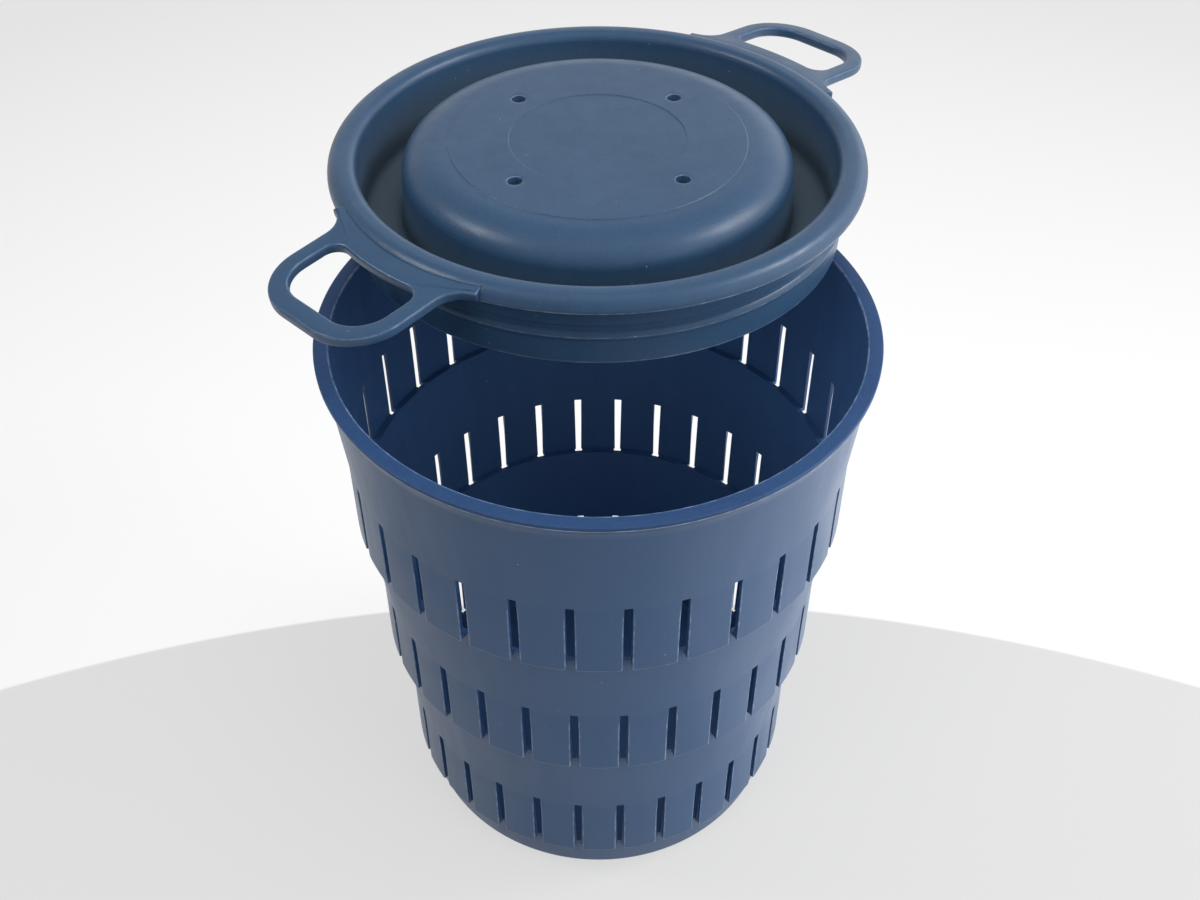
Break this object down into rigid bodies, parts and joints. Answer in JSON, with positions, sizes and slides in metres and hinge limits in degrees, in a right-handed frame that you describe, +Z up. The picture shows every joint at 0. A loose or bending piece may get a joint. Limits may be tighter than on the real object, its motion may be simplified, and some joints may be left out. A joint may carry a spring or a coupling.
{
  "type": "chum bucket",
  "caption": "Tapered pail with bands of slots round its side and a loose vented lid with finger loops, lying askew on the rim.",
  "frame": {"origin": "centre of the pail's flat base, on the surface that it stands on", "axes": "+Z up along the pail's axis, -Y towards the front, where the rim is clear of the lid"},
  "size_m": [0.2852, 0.361, 0.3483],
  "materials": {
    "pail": "satin moulded polyethylene",
    "lid": "satin soft moulding",
    "loops": "satin soft moulding"
  },
  "bodies": {
    "bucket": {"bucket": "pail"},
    "lid": {"lid": "lid", "front_left_handle": "loops", "rear_right_handle": "loops"}
  },
  "joints": [
    {"name": "lid_lift", "type": "slide", "parent": "bucket", "child": "lid", "axis": [0, 0, 1], "range_m": [0, 0.15]}
  ]
}
